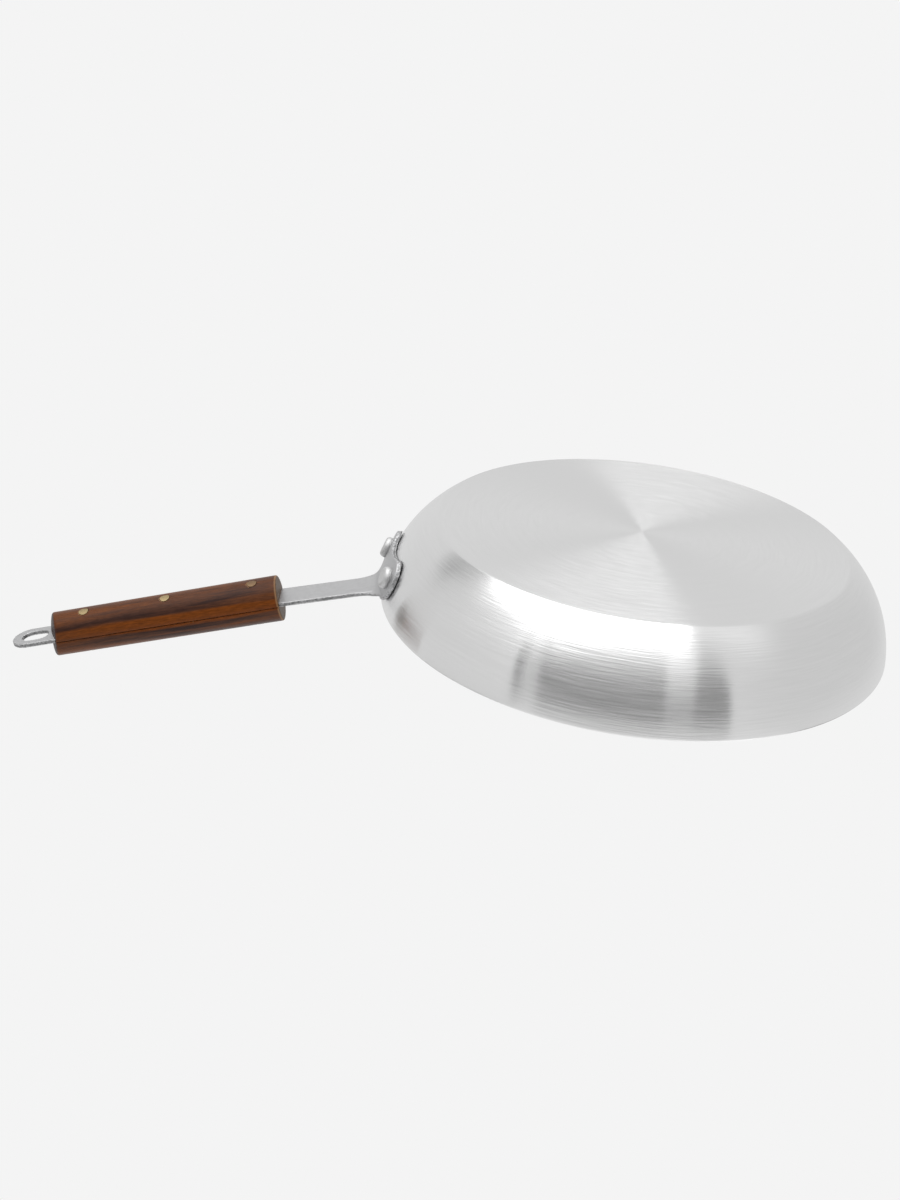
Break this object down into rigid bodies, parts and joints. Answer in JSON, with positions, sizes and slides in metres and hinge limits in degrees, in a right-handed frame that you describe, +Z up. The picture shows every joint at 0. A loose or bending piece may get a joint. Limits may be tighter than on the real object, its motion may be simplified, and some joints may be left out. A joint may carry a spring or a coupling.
{
  "type": "omelette pan",
  "caption": "Round flat-based omelette pan with a curved low wall, a riveted metal strap handle, a round wooden grip and a hanging slot.",
  "frame": {"origin": "centre of the flat base's underside, with the pan standing on its base", "axes": "+Z up out of the pan's opening, the handle runs along -X"},
  "size_m": [0.4146, 0.2398, 0.0863],
  "materials": {
    "pan_metal": "fine turned brushing",
    "strap_metal": "dull rolled face with blanked edges",
    "rivet_metal": "satin",
    "grip_wood": "satin lacquer",
    "pin_brass": "ground flush"
  },
  "bodies": {
    "root": {"pan_body": "pan_metal", "handle_strap": "strap_metal", "rivet_left": "rivet_metal", "rivet_right": "rivet_metal", "grip_scale_upper": "grip_wood", "grip_scale_lower": "grip_wood", "grip_pin_inner": "pin_brass", "grip_pin_middle": "pin_brass", "grip_pin_outer": "pin_brass"}
  },
  "joints": []
}
